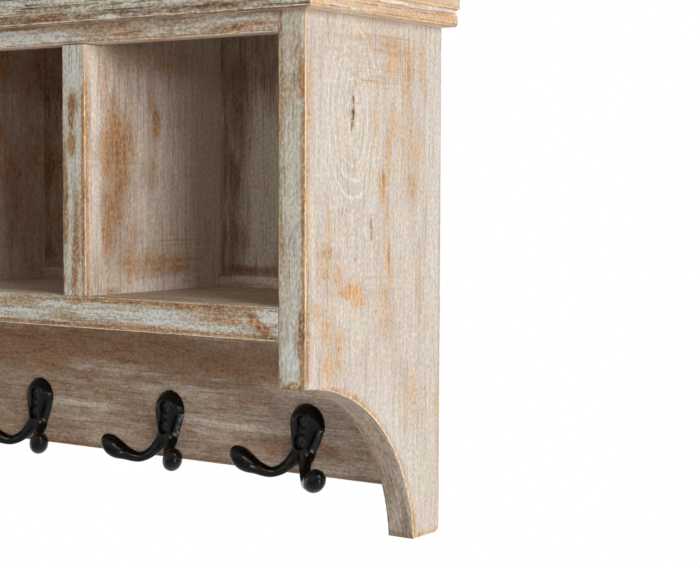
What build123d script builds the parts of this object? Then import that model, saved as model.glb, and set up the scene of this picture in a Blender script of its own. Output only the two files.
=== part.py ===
from build123d import *
import os
from math import asin, cos, degrees, radians, sin, sqrt

# A wall shelf of solid boards: open cubbies under a mitred cornice, over a board of cast iron double hooks.
# X runs to the right, the front faces -Y, the wall is the plane Y = 0, and Z is up.
# The model is laid out from the bottom of the feet and written out from the middle of the two wall hangers.

# Sides and bays
BOARD = 24.5
BAY_COUNT = 4
BAY_WIDTH = 188.5
SIDE_DEPTH = 180.0
SIDE_HEIGHT = 440.0
FOOT_DEPTH = 37.0
FOOT_ROUND = 6.0
CURVE_TOP = 131.0
ARRIS = 1.0

# Rails, shelf and dividers
SHELF_HEIGHT = 189.5
SHELF_THICKNESS = 20.0
TOP_RAIL_HEIGHT = 54.8
RAIL_THICKNESS = 20.0
BOTTOM_RAIL_HEIGHT = 25.0
NOTCH_GAP = 0.5

# Back boards and hook board
BACK_THICKNESS = 13.3
BACK_GAP = 0.4
HOOK_BOARD_THICKNESS = 16.3
HOOK_BOARD_BOTTOM = 35.0
HOOK_BOARD_LIP = 10.0

# Cornice and top board
CORNICE_HEIGHT = 40.0
CORNICE_FLAT_TOP = 8.8
CORNICE_FLAT_OUT = 14.3
CORNICE_COVE_IN = 12.9
CORNICE_FASCIA_BOTTOM = 13.4
CORNICE_FASCIA_TOP = 27.0
CORNICE_FASCIA_OUT = 16.2
CORNICE_CROWN_OUT = 22.5
CORNICE_CROWN_EDGE = 3.0
CORNICE_ROUND = 2.4
MITRE_GAP = 0.3
TOP_THICKNESS = 16.0
TOP_OVERHANG = 26.0
TOP_ROUND = 5.0

# Dowels, screws and nails
FIT = 0.1
END_GAP = 0.8
RAIL_DOWEL_RADIUS = 3.0
BOARD_DOWEL_RADIUS = 4.0
DOWEL_REACH = 18.0
DOWEL_EASE = 0.8
DOWEL_SIDE_SHARE = 0.5
DOWEL_TOP_SHARE = 0.62
DIVIDER_SCREW_LENGTH = 42.0
DIVIDER_SCREW_RADIUS = 2.0
DIVIDER_SCREW_HEAD = 3.9
NAIL_RADIUS = 0.9
NAIL_HEAD_RADIUS = 2.0
NAIL_HEAD_THICKNESS = 0.8
BACK_NAIL_LENGTH = 30.0
CORNICE_NAIL_LENGTH = 28.0

# Places along a piece, as shares of its length
TWO_PLACES_SHARES = (0.28, 0.72)
THREE_PLACES_SHARES = (0.16, 0.5, 0.84)
CORNICE_NAIL_SHARES = (0.06, 0.235, 0.412, 0.588, 0.765, 0.94)

# Double hook: a domed pear-shaped plate with two prongs that dip and rise into clubs
HOOK_PLACE_SHARES = (-0.382, -0.187, 0.0084, 0.2026, 0.384)
HOOK_TILTS = (3.0, 1.5, 4.8, 2.6, 7.0)
HOOK_RISE = 33.0
HOOK_PIVOT = 25.0
HOOK_PLATE_HEIGHT = 52.5
HOOK_PLATE_THICKNESS = 10.4
HOOK_PLATE_ROUND = 7.4
HOOK_TOP_RADIUS = 16.0
HOOK_FOOT_RADIUS = 11.0
PRONG_SPREAD = 49.0
PRONG_ROOT_OUT = 3.1
PRONG_ROOT_HEIGHT = 10.4
PRONG_ROOT_RADIUS = 6.0
PRONG_RADIUS = 3.6
PRONG_DIP_REACH = 22.8
PRONG_DIP = 7.6
PRONG_BEND = 22.8
PRONG_ROOT_ANGLE = 45.0
PRONG_CLUB_ANGLE = 9.0
CLUB_REACH = 48.2
CLUB_HEIGHT = -0.7
CLUB_RADIUS = 8.5
HOOK_SCREW_HEIGHTS = (20.3, 37.8)
HOOK_SCREW_LENGTH = 18.0
HOOK_SCREW_RADIUS = 1.9
HOOK_SCREW_HEAD = 3.8
HOOK_RECESS_RADIUS = 5.4
HOOK_RECESS_FLOOR = 5.0
CROSS_LENGTH = 4.4
CROSS_WIDTH = 1.0
CROSS_DEPTH = 1.4

# Keyhole hanger plates in the back edges of the sides
HANGER_DROP = 45.0
HANGER_WIDTH = 17.0
HANGER_HEIGHT = 50.0
HANGER_ROUND = 5.0
HANGER_THICKNESS = 1.5
HANGER_SHIFT = 5.0
KEY_RADIUS = 4.5
KEY_SLOT_RADIUS = 2.3
KEY_RUN = 10.0
POCKET_DEPTH = 9.0
POCKET_MARGIN = 1.5
HANGER_SCREW_LENGTH = 18.0
HANGER_SCREW_RADIUS = 1.5
HANGER_SCREW_HEAD = 2.9
HANGER_SCREW_EDGE = 5.0

# Worked out from the sizes above
INNER_WIDTH = BAY_COUNT * BAY_WIDTH + (BAY_COUNT - 1) * BOARD
INNER_X = INNER_WIDTH / 2
OUTER_X = INNER_X + BOARD
PITCH = BAY_WIDTH + BOARD
OPENING_TOP = SIDE_HEIGHT - TOP_RAIL_HEIGHT
RAIL_BACK = RAIL_THICKNESS - SIDE_DEPTH
HOOK_BOARD_TOP = SHELF_HEIGHT + HOOK_BOARD_LIP
CORNICE_BOTTOM = SIDE_HEIGHT - CORNICE_HEIGHT
HANGER_Z = SIDE_HEIGHT - HANGER_DROP
HANGER_X = INNER_X + BOARD / 2
DOWEL_IN_SIDE = BOARD * DOWEL_SIDE_SHARE
DOWEL_IN_TOP = TOP_THICKNESS * DOWEL_TOP_SHARE
FROM_START = (Align.CENTER, Align.CENTER, Align.MIN)


def block(low, high):
    """A block between two opposite corners."""
    size = [b - a for a, b in zip(low, high)]
    return Pos(*low) * Box(*size, align=(Align.MIN, Align.MIN, Align.MIN))


def between(low, high, shares):
    """Places between two ends, one for each share."""
    return [low + (high - low) * share for share in shares]


def rod(start, way, radius, length):
    """A round rod from a start point, along a way."""
    return Plane(origin=start, z_dir=way) * Cylinder(radius, length, align=FROM_START)


def eased(board, axis):
    """The board with its long edges along an axis rounded over."""
    return fillet(board.edges().filter_by(axis), ARRIS)


def dowel(start, way, radius, length):
    """A dowel with eased ends, and the hole that it is glued into."""
    pin = rod(start, way, radius, length)
    pin = chamfer(pin.edges().filter_by(GeomType.CIRCLE), DOWEL_EASE)
    back = Vector(*start) - Vector(*way).normalized() * END_GAP
    return pin, rod(back, way, radius + FIT, length + 2 * END_GAP)


def countersunk(length, radius, head, grow=0.0):
    """A countersunk screw along -Z with its flat head at the origin; grow widens it into its hole."""
    wide = head + grow
    slim = radius + grow
    points = [(0, 0), (wide, 0), (slim, slim - wide), (slim, radius - length), (0, -length)]
    profile = make_face(Polyline(*points, close=True))
    return revolve(Plane.XZ * profile, Axis.Z)


def cross_recess():
    """The cross-shaped driver recess in a screw's head."""
    centred = (Align.CENTER, Align.CENTER, Align.MAX)
    bar = Box(CROSS_LENGTH, CROSS_WIDTH, CROSS_DEPTH, align=centred)
    return bar + Rot(0, 0, 90) * bar


def screw(place, length, radius, head, driven=False):
    """A screw and its hole; the place's Z axis points out of the head."""
    body = countersunk(length, radius, head)
    if driven:
        body -= cross_recess()
    return place * body, place * countersunk(length, radius, head, FIT)


def nail(start, way, length):
    """A nail and its hole, with the head sunk flush at the start."""
    body = rod(start, way, NAIL_RADIUS, length) + rod(start, way, NAIL_HEAD_RADIUS, NAIL_HEAD_THICKNESS)
    hole = rod(start, way, NAIL_RADIUS + FIT, length + FIT)
    return body, hole + rod(start, way, NAIL_HEAD_RADIUS + FIT, NAIL_HEAD_THICKNESS)


def end_dowels(places, radius):
    """Dowels along X at both ends of a board, half in the sides, for a list of (y, z) places."""
    length = DOWEL_IN_SIDE + DOWEL_REACH
    made = []
    for y, z in places:
        made.append(dowel((INNER_X - DOWEL_REACH, y, z), (1, 0, 0), radius, length))
        made.append(dowel((DOWEL_REACH - INNER_X, y, z), (-1, 0, 0), radius, length))
    return made


def rail_dowels():
    """Dowels between the two rails and the sides."""
    y = RAIL_BACK - RAIL_THICKNESS / 2
    low = between(SHELF_HEIGHT - BOTTOM_RAIL_HEIGHT, SHELF_HEIGHT, TWO_PLACES_SHARES)
    high = between(OPENING_TOP, SIDE_HEIGHT, TWO_PLACES_SHARES)
    return end_dowels([(y, z) for z in low + high], RAIL_DOWEL_RADIUS)


def shelf_dowels():
    """Dowels between the shelf board and the sides."""
    z = SHELF_HEIGHT - SHELF_THICKNESS / 2
    places = between(RAIL_BACK, -HOOK_BOARD_THICKNESS, THREE_PLACES_SHARES)
    return end_dowels([(y, z) for y in places], BOARD_DOWEL_RADIUS)


def hook_board_dowels():
    """Dowels between the hook board and the sides."""
    places = between(HOOK_BOARD_BOTTOM, HOOK_BOARD_TOP, TWO_PLACES_SHARES)
    return end_dowels([(-HOOK_BOARD_THICKNESS / 2, z) for z in places], BOARD_DOWEL_RADIUS)


def upright_centres():
    """The X of each side's and each divider's centre plane."""
    return [PITCH * (n - BAY_COUNT / 2) for n in range(BAY_COUNT + 1)]


def top_dowels():
    """Upright dowels from the sides and dividers into the top board."""
    made = []
    for x in upright_centres():
        for y in between(RAIL_BACK, -BACK_THICKNESS, TWO_PLACES_SHARES):
            start = (x, y, SIDE_HEIGHT - DOWEL_REACH)
            made.append(dowel(start, (0, 0, 1), BOARD_DOWEL_RADIUS, DOWEL_REACH + DOWEL_IN_TOP))
    return made


def divider_screws():
    """Screws from under the shelf board up into the dividers."""
    made = []
    for x in upright_centres()[1:-1]:
        for y in between(RAIL_BACK, -HOOK_BOARD_THICKNESS, TWO_PLACES_SHARES):
            under = Plane(origin=(x, y, SHELF_HEIGHT - SHELF_THICKNESS), z_dir=(0, 0, -1))
            made.append(screw(under, DIVIDER_SCREW_LENGTH, DIVIDER_SCREW_RADIUS, DIVIDER_SCREW_HEAD))
    return made


def back_nails():
    """Nails through the back boards' edges into the dividers."""
    made = []
    for x in upright_centres()[1:-1]:
        for side in (-1, 1):
            for z in between(HOOK_BOARD_TOP, SIDE_HEIGHT, THREE_PLACES_SHARES):
                start = (x + side * BOARD / 4, 0, z)
                made.append(nail(start, (0, -1, 0), BACK_NAIL_LENGTH))
    return made


def cornice_nails():
    """Nails through the mouldings into the top rail and the sides."""
    z = CORNICE_BOTTOM + (CORNICE_FASCIA_BOTTOM + CORNICE_FASCIA_TOP) / 2
    front = -SIDE_DEPTH - CORNICE_FASCIA_OUT
    made = []
    for x in between(-INNER_X, INNER_X, CORNICE_NAIL_SHARES):
        made.append(nail((x, front, z), (0, 1, 0), CORNICE_NAIL_LENGTH))
    for side in (-1, 1):
        for y in between(-SIDE_DEPTH, 0, TWO_PLACES_SHARES):
            start = (side * (OUTER_X + CORNICE_FASCIA_OUT), y, z)
            made.append(nail(start, (-side, 0, 0), CORNICE_NAIL_LENGTH))
    return made


def side_outline():
    """The side board seen from its end: a foot at the wall and a quarter-round cut-out in front of it."""
    run = SIDE_DEPTH - FOOT_DEPTH
    radius = (run ** 2 + CURVE_TOP ** 2) / (2 * CURVE_TOP)
    half_turn = asin(min(1, run / radius)) / 2
    middle = (-SIDE_DEPTH + radius * sin(half_turn), CURVE_TOP - radius * (1 - cos(half_turn)))
    inset = FOOT_ROUND * (1 - sqrt(2) / 2)
    edges = [
        Line((-FOOT_DEPTH, 0), (-FOOT_ROUND, 0)),
        ThreePointArc((-FOOT_ROUND, 0), (-inset, inset), (0, FOOT_ROUND)),
        Polyline((0, FOOT_ROUND), (0, SIDE_HEIGHT), (-SIDE_DEPTH, SIDE_HEIGHT), (-SIDE_DEPTH, CURVE_TOP)),
        ThreePointArc((-SIDE_DEPTH, CURVE_TOP), middle, (-FOOT_DEPTH, 0)),
    ]
    return make_face(Curve() + edges)


def side_board(holes):
    """The right side board, eased round both faces, with its dowel holes and hanger recess."""
    board = extrude(Plane.YZ.offset(INNER_X) * side_outline(), BOARD)
    faces = board.faces().sort_by(Axis.X)
    board = fillet(faces[0].edges() + faces[-1].edges(), ARRIS)
    return board - holes


def shelf_board(holes):
    """The floor of the cubbies, between the bottom rail and the hook board."""
    low = (-INNER_X, RAIL_BACK, SHELF_HEIGHT - SHELF_THICKNESS)
    return block(low, (INNER_X, -HOOK_BOARD_THICKNESS, SHELF_HEIGHT)) - holes


def rail(bottom, top, holes):
    """A front rail between the sides."""
    board = block((-INNER_X, -SIDE_DEPTH, bottom), (INNER_X, RAIL_BACK, top))
    return eased(board, Axis.X) - holes


def divider(x, holes):
    """An upright board between two cubbies, notched round the top rail and over the hook board's lip."""
    left, right = x - BOARD / 2, x + BOARD / 2
    board = block((left, -SIDE_DEPTH, SHELF_HEIGHT), (right, -BACK_THICKNESS, SIDE_HEIGHT))
    board = fillet(board.edges().filter_by(Axis.Z).group_by(Axis.Y)[0], ARRIS)
    notch = block((left, -SIDE_DEPTH, OPENING_TOP - NOTCH_GAP), (right, RAIL_BACK + NOTCH_GAP, SIDE_HEIGHT))
    lip = block((left, -HOOK_BOARD_THICKNESS, SHELF_HEIGHT), (right, 0, HOOK_BOARD_TOP))
    return board - notch - lip - holes


def back_board(n, holes):
    """The upright back board of one cubby; its edges meet its neighbours' behind the dividers."""
    centres = upright_centres()
    left = -INNER_X if n == 0 else centres[n] + BACK_GAP / 2
    right = INNER_X if n == BAY_COUNT - 1 else centres[n + 1] - BACK_GAP / 2
    return block((left, -BACK_THICKNESS, HOOK_BOARD_TOP), (right, 0, SIDE_HEIGHT)) - holes


def hook_board(holes):
    """The lower back board that carries the hooks."""
    board = block((-INNER_X, -HOOK_BOARD_THICKNESS, HOOK_BOARD_BOTTOM), (INNER_X, 0, HOOK_BOARD_TOP))
    return eased(board, Axis.X) - holes


def top_board(holes):
    """The board that caps the cornice, rounded at its front and ends."""
    out = OUTER_X + TOP_OVERHANG
    low = (-out, -SIDE_DEPTH - TOP_OVERHANG, SIDE_HEIGHT)
    board = block(low, (out, 0, SIDE_HEIGHT + TOP_THICKNESS))
    corners = board.edges().filter_by(Axis.Z).group_by(Axis.Y)[0]
    board = fillet(corners, TOP_ROUND)
    wall = board.faces().sort_by(Axis.Y)[-1].edges()
    rims = board.faces().sort_by(Axis.Z)[0].edges() + board.faces().sort_by(Axis.Z)[-1].edges()
    rims = [e for e in rims if not any(e.is_same(w) for w in wall)]
    return fillet(rims, TOP_ROUND) - holes


def moulding_profile():
    """The cornice's section: a flat with a round lower edge, a cove, a fascia and a crown, out and up."""
    eye = CORNICE_FLAT_OUT - CORNICE_ROUND
    slant = CORNICE_ROUND * sqrt(2) / 2
    cove_middle = (CORNICE_COVE_IN, (CORNICE_FLAT_TOP + CORNICE_FASCIA_BOTTOM) / 2)
    crown_bottom = CORNICE_HEIGHT - CORNICE_CROWN_EDGE
    bend = (CORNICE_CROWN_OUT - CORNICE_FASCIA_OUT) * (1 - sqrt(2) / 2)
    reach = (crown_bottom - CORNICE_FASCIA_TOP) * sqrt(2) / 2
    crown_middle = (CORNICE_FASCIA_OUT + bend, CORNICE_FASCIA_TOP + reach)
    edges = [
        Line((0, 0), (eye, 0)),
        ThreePointArc((eye, 0), (eye + slant, CORNICE_ROUND - slant), (CORNICE_FLAT_OUT, CORNICE_ROUND)),
        Line((CORNICE_FLAT_OUT, CORNICE_ROUND), (CORNICE_FLAT_OUT, CORNICE_FLAT_TOP)),
        ThreePointArc(
            (CORNICE_FLAT_OUT, CORNICE_FLAT_TOP), cove_middle, (CORNICE_FASCIA_OUT, CORNICE_FASCIA_BOTTOM)
        ),
        Line((CORNICE_FASCIA_OUT, CORNICE_FASCIA_BOTTOM), (CORNICE_FASCIA_OUT, CORNICE_FASCIA_TOP)),
        ThreePointArc(
            (CORNICE_FASCIA_OUT, CORNICE_FASCIA_TOP), crown_middle, (CORNICE_CROWN_OUT, crown_bottom)
        ),
        Polyline((CORNICE_CROWN_OUT, crown_bottom), (CORNICE_CROWN_OUT, CORNICE_HEIGHT), (0, CORNICE_HEIGHT)),
        Line((0, CORNICE_HEIGHT), (0, 0)),
    ]
    return make_face(Curve() + edges)


def mitre(side, inset):
    """The upright plane of a front corner's mitre, set back along its own normal."""
    way = Vector(side, 1, 0).normalized()
    corner = Vector(side * OUTER_X, -SIDE_DEPTH, CORNICE_BOTTOM)
    return Plane(origin=corner + way * inset, z_dir=way)


def cornice_front(holes):
    """The front moulding, mitred at both ends."""
    base = Plane(origin=(0, -SIDE_DEPTH, CORNICE_BOTTOM), x_dir=(0, -1, 0), z_dir=(-1, 0, 0))
    bar = extrude(base * moulding_profile(), OUTER_X + CORNICE_CROWN_OUT, both=True)
    for side in (-1, 1):
        bar = split(bar, bisect_by=mitre(side, -MITRE_GAP / 2), keep=Keep.BOTTOM)
    return bar - holes


def cornice_right(holes):
    """The right-hand moulding, mitred at the front and square at the wall."""
    base = Plane(origin=(OUTER_X, 0, CORNICE_BOTTOM), x_dir=(1, 0, 0), z_dir=(0, -1, 0))
    bar = extrude(base * moulding_profile(), SIDE_DEPTH + CORNICE_CROWN_OUT)
    bar = split(bar, bisect_by=mitre(1, MITRE_GAP / 2), keep=Keep.TOP)
    return bar - holes


def capsule(start, end, start_radius, end_radius):
    """Two balls joined by the cone that touches both, in the XY plane's (x, y) places."""
    along = Vector(*end) - Vector(*start)
    length = along.length
    lean = asin((end_radius - start_radius) / length)
    low = (-start_radius * sin(lean), start_radius * cos(lean))
    high = (length - end_radius * sin(lean), end_radius * cos(lean))
    tail = (-start_radius * sqrt(2) / 2, start_radius * sqrt(2) / 2)
    nose = (length + end_radius * sqrt(2) / 2, end_radius * sqrt(2) / 2)
    edges = [
        ThreePointArc((-start_radius, 0), tail, low),
        Line(low, high),
        ThreePointArc(high, nose, (length + end_radius, 0)),
        Line((length + end_radius, 0), (-start_radius, 0)),
    ]
    solid = revolve(make_face(Curve() + edges), Axis.X)
    turn = degrees(asin(along.Y / length))
    return Pos(*start) * Rot(0, 0, turn) * solid


def prong():
    """One prong, flat in the XY plane: X runs out from the plate and Y is up."""
    centre = Vector(PRONG_DIP_REACH, PRONG_BEND - PRONG_DIP)

    def on_bend(angle):
        return centre + Vector(sin(radians(angle)), -cos(radians(angle))) * PRONG_BEND

    start = on_bend(-PRONG_ROOT_ANGLE)
    end = on_bend(PRONG_CLUB_ANGLE)
    section = Plane(origin=start, x_dir=start - centre, z_dir=Vector(0, 0, 1).cross(start - centre))
    turn = PRONG_ROOT_ANGLE + PRONG_CLUB_ANGLE
    arm = revolve(section * Circle(PRONG_RADIUS), Axis(centre, (0, 0, 1)), turn)
    root = capsule((0, PRONG_ROOT_HEIGHT), (start.X, start.Y), PRONG_ROOT_RADIUS, PRONG_RADIUS)
    club = capsule((end.X, end.Y), (CLUB_REACH, CLUB_HEIGHT), PRONG_RADIUS, CLUB_RADIUS)
    return root + arm + club


def hook_casting():
    """The cast double hook, with its back on the plane Y = 0 and its plate's foot at the origin."""
    face = Plane(origin=(0, 0, 0), x_dir=(1, 0, 0), z_dir=(0, -1, 0))
    top = Pos(0, HOOK_PLATE_HEIGHT - HOOK_TOP_RADIUS) * Circle(HOOK_TOP_RADIUS)
    foot = Pos(0, HOOK_FOOT_RADIUS) * Circle(HOOK_FOOT_RADIUS)
    outline = make_hull(top.edges() + foot.edges())
    plate = extrude(face * outline, HOOK_PLATE_THICKNESS)
    casting = fillet(plate.faces().sort_by(Axis.Y)[0].edges(), HOOK_PLATE_ROUND)
    for side in (-1, 1):
        spread = radians(PRONG_SPREAD)
        way = Vector(side * sin(spread), -cos(spread), 0)
        upright = Plane(origin=(0, -PRONG_ROOT_OUT, 0), x_dir=way, z_dir=way.cross(Vector(0, 0, 1)))
        casting += upright * prong()
    behind = block((-CLUB_REACH, 0, -CLUB_REACH), (CLUB_REACH, CLUB_REACH, CLUB_REACH))
    casting -= behind
    for z in HOOK_SCREW_HEIGHTS:
        floor = (0, -HOOK_RECESS_FLOOR, z)
        casting -= rod(floor, (0, -1, 0), HOOK_RECESS_RADIUS, HOOK_PLATE_THICKNESS)
    return casting


def hook_locations():
    """Where each hook's plate foot is, turned a little as fitted by hand."""
    places = []
    for share, tilt in zip(HOOK_PLACE_SHARES, HOOK_TILTS):
        pivot = Pos(share * INNER_WIDTH, -HOOK_BOARD_THICKNESS, HOOK_BOARD_BOTTOM + HOOK_RISE)
        places.append(pivot * Rot(0, tilt, 0) * Pos(0, 0, -HOOK_PIVOT))
    return places


def hook_screws():
    """Two screws through each hook's plate into the hook board."""
    made = []
    for location in hook_locations():
        for z in HOOK_SCREW_HEIGHTS:
            head = Plane(origin=(0, -HOOK_RECESS_FLOOR, z), x_dir=(1, 0, 0), z_dir=(0, -1, 0))
            for_screw = screw(head, HOOK_SCREW_LENGTH, HOOK_SCREW_RADIUS, HOOK_SCREW_HEAD, driven=True)
            made.append(tuple(location * shape for shape in for_screw))
    return made


def hanger_plane():
    """The wall plane at the right-hand hanger's round hole, facing the wall."""
    return Plane(origin=(HANGER_X, 0, HANGER_Z), x_dir=(-1, 0, 0), z_dir=(0, 1, 0))


def hanger_screws():
    """The two screws of the right-hand hanger plate."""
    half = HANGER_HEIGHT / 2 - HANGER_SCREW_EDGE
    wall = hanger_plane()
    made = []
    for y in (HANGER_SHIFT - half, HANGER_SHIFT + half):
        place = wall * Pos(0, y, 0)
        made.append(screw(place, HANGER_SCREW_LENGTH, HANGER_SCREW_RADIUS, HANGER_SCREW_HEAD))
    return made


def hanger_recess():
    """The recess for the right-hand hanger plate, with the pocket for the wall screw's head."""
    wall = hanger_plane()
    outline = Pos(0, HANGER_SHIFT) * RectangleRounded(HANGER_WIDTH, HANGER_HEIGHT, HANGER_ROUND)
    seat = extrude(wall * outline, -HANGER_THICKNESS)
    half = KEY_RADIUS + POCKET_MARGIN
    pocket = Pos(0, KEY_RUN / 2) * Rectangle(2 * half, KEY_RUN + 2 * half)
    return seat + extrude(wall * pocket, -HANGER_THICKNESS - POCKET_DEPTH)


def hanger_plate(holes):
    """The right-hand steel keyhole plate, flush with the side's back edge."""
    outline = Pos(0, HANGER_SHIFT) * RectangleRounded(HANGER_WIDTH, HANGER_HEIGHT, HANGER_ROUND)
    slot = Pos(0, KEY_RUN / 2) * Rot(0, 0, 90) * SlotCenterToCenter(KEY_RUN, 2 * KEY_SLOT_RADIUS)
    plate = extrude(hanger_plane() * (outline - Circle(KEY_RADIUS) - slot), -HANGER_THICKNESS)
    return plate - holes


def solids_of(made):
    return [solid for solid, hole in made]


def holes_of(made):
    return [hole for solid, hole in made]


def mirrored(shape):
    """The same shape on the left."""
    return mirror(shape, about=Plane.YZ)


def write(name, shapes):
    """Write one node's solids, with the origin moved to the middle of the wall hangers."""
    moved = [Pos(0, 0, -HANGER_Z) * solid for shape in shapes for solid in shape.solids()]
    whole = moved[0] if len(moved) == 1 else Compound(moved)
    export_step(whole, f"parts/{name}.step")


def main():
    os.makedirs("parts", exist_ok=True)
    rails, shelves, hangs, tops = rail_dowels(), shelf_dowels(), hook_board_dowels(), top_dowels()
    under, backs, trims, hooked = divider_screws(), back_nails(), cornice_nails(), hook_screws()
    plate_screws = hanger_screws()

    side_holes = holes_of(rails + shelves + hangs + tops + trims + plate_screws)
    side_right = side_board(side_holes + [hanger_recess()])
    write("side_right", [side_right])
    write("side_left", [mirrored(side_right)])

    write("bottom_rail", [rail(SHELF_HEIGHT - BOTTOM_RAIL_HEIGHT, SHELF_HEIGHT, holes_of(rails))])
    write("top_rail", [rail(OPENING_TOP, SIDE_HEIGHT, holes_of(rails + trims))])
    write("shelf_board", [shelf_board(holes_of(shelves + under))])
    for n, x in enumerate(upright_centres()[1:-1], 1):
        write(f"divider_{n}", [divider(x, holes_of(under + backs + tops))])
    for n in range(BAY_COUNT):
        write(f"back_board_{n + 1}", [back_board(n, holes_of(backs))])
    write("hook_board", [hook_board(holes_of(hangs + hooked))])

    write("top_board", [top_board(holes_of(tops))])
    write("cornice_front", [cornice_front(holes_of(trims))])
    right_trim = cornice_right(holes_of(trims))
    write("cornice_right", [right_trim])
    write("cornice_left", [mirrored(right_trim)])

    casting = hook_casting()
    for n, location in enumerate(hook_locations(), 1):
        write(f"hook_{n}", [location * casting - holes_of(hooked[2 * n - 2:2 * n])])
    write("hook_screws", solids_of(hooked))

    plate = hanger_plate(holes_of(plate_screws))
    write("hanger_plate_right", [plate])
    write("hanger_plate_left", [mirrored(plate)])
    right_screws = solids_of(plate_screws)
    write("hanger_screws", right_screws + [mirrored(s) for s in right_screws])

    write("rail_dowels", solids_of(rails))
    write("shelf_dowels", solids_of(shelves))
    write("hook_board_dowels", solids_of(hangs))
    write("top_dowels", solids_of(tops))
    write("divider_screws", solids_of(under))
    write("back_nails", solids_of(backs))
    write("cornice_nails", solids_of(trims))


main()
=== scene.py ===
from math import ceil, cos, pi, radians, sin

import bmesh
import bpy
import numpy as np
from mathutils import Matrix, Vector

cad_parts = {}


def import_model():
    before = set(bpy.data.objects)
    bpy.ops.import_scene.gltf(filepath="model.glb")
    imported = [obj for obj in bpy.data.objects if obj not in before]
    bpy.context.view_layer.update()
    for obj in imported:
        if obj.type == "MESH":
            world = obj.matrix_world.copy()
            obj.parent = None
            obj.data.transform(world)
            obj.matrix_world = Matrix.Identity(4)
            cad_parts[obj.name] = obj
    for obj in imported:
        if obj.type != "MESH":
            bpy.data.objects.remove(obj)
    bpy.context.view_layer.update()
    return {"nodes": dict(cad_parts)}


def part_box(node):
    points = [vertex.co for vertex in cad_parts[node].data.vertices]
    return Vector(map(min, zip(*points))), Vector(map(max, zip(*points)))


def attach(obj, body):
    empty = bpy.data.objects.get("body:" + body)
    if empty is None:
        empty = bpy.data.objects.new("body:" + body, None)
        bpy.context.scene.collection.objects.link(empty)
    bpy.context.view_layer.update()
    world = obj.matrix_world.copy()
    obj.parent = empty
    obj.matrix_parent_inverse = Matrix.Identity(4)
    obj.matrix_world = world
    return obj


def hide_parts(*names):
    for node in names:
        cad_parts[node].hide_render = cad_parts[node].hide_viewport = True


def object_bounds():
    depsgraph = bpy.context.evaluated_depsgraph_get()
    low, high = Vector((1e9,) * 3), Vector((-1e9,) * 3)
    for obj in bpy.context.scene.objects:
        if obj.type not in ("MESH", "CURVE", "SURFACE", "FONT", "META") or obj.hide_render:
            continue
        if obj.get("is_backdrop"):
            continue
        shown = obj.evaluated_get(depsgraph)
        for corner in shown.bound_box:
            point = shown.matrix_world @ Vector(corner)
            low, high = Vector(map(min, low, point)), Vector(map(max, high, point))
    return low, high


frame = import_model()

# The looks of a limed wood wall shelf. Lengths are in metres, and marks on the wood are placed in millimetres.
MM = 0.001

# Camera, solved from the straight edges of the shelf in the photograph
FOCAL_PIXELS = 1667.97
PHOTO_WIDTH = 700
SENSOR = 36.0
CAMERA_PLACE = (1.13849, -1.12297, -0.11534)
CAMERA_YAW = 0.6119
CAMERA_PITCH = -0.0616
CAMERA_ROLL = 0.0028

# Studio
FLOOR_DROP = 1.25
FLOOR_SIZE = 5.0
AMBIENT = 0.08
LAMPS = {
    "key_lamp": dict(azimuth=62, elevation=14, distance=2.6, size=(0.7, 1.1), watts=35),
    "side_lamp": dict(azimuth=84, elevation=0, distance=2.6, size=(0.5, 2.3), watts=15),
    "front_lamp": dict(azimuth=-12, elevation=13, distance=2.8, size=(0.25, 0.25), watts=3),
    "small_lamp": dict(azimuth=26, elevation=13, distance=2.8, size=(0.22, 0.3), watts=4.5),
    "left_lamp": dict(azimuth=-100, elevation=15, distance=2.6, size=(1.5, 1.9), watts=40),
    "floor_lamp": dict(azimuth=80, elevation=-38, distance=1.9, size=(0.22, 0.4), watts=8),
    "back_lamp": dict(azimuth=180, elevation=35, distance=2.8, size=(2.4, 1.6), watts=60),
}
LAMP_AIM = (0.36, -0.1, -0.18)

# Wood
CELL = 0.005
FINE_CELL = 0.003
FLAT_ANGLE = 0.4
SMOOTH_ANGLE = 35.0
WAVE_DEPTH = 0.12
BRUSH_LEAN = -0.6
BRUSH_AXIS = (0.0, 0.0, 1.0)
# Colour of the line right on the arrises: the worn pale edge, and a painted highlight where light catches the arris.
PALE_WEAR_AND_HIGHLIGHT = (0.84, 0.72, 0.54)
SOOT = (0.07, 0.058, 0.05)
WARM, COOL = (1.01, 1.005, 0.94), (1.0, 0.99, 1.03)
DENT_DEPTH = 0.3
PATCH_AREA = 0.004
FOOT_DEPTH = 37.0
FOOT_PAINT = 62.0
TRIM_ARRISES = [(8.2, 0.6), (8.2, 8.8), (6.3, 13.4), (6.3, 27.0), (0.0, 37.0), (0.0, 40.0)]
CURVE_TOP = 131.0

# Hooks: the places and turns of the frame's castings, then the pattern's sizes in millimetres
HOOK_SHARES = (-0.382, -0.187, 0.0084, 0.2026, 0.384)
HOOK_TILTS = (3.0, 1.5, 5.5, 4.6, 8.5)
HOOK_WIDTHS = (1.0, 0.97, 0.96, 0.95, 1.03)
HOOK_RISE = 0.033
HOOK_PIVOT = 25.0
PLATE_HEIGHT = 52.5
PLATE_THICKNESS = 8.6
PLATE_TOP_HALF = 17.6
PLATE_BEVEL = 0.65
PLATE_DOME = 0.007
PLATE_FOOT_HALF = 11.3
PRONG_SPREAD = 50.0
PRONG_ROOT = 3.2
PRONG_OUT = 3.1
PLATE_FILLET = 4.0
PRONG_FILLET = 3.2
PRONG_FADE = 16.0
WELLS = ((37.8, 5.5), (20.3, 6.0))
WELL_FLOOR = 4.85
NECK_HALF, NECK_MIDDLE, NECK_REACH, NECK_FLOOR = 4.2, 29.0, 8.0, 6.2
WELL_FILLET = 0.8
HOOK_BACK = 0.1
HOOK_LOW, HOOK_HIGH = (-52, -0.4, -20), (52, 54, 56)
HOOK_STEP = 0.75


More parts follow.
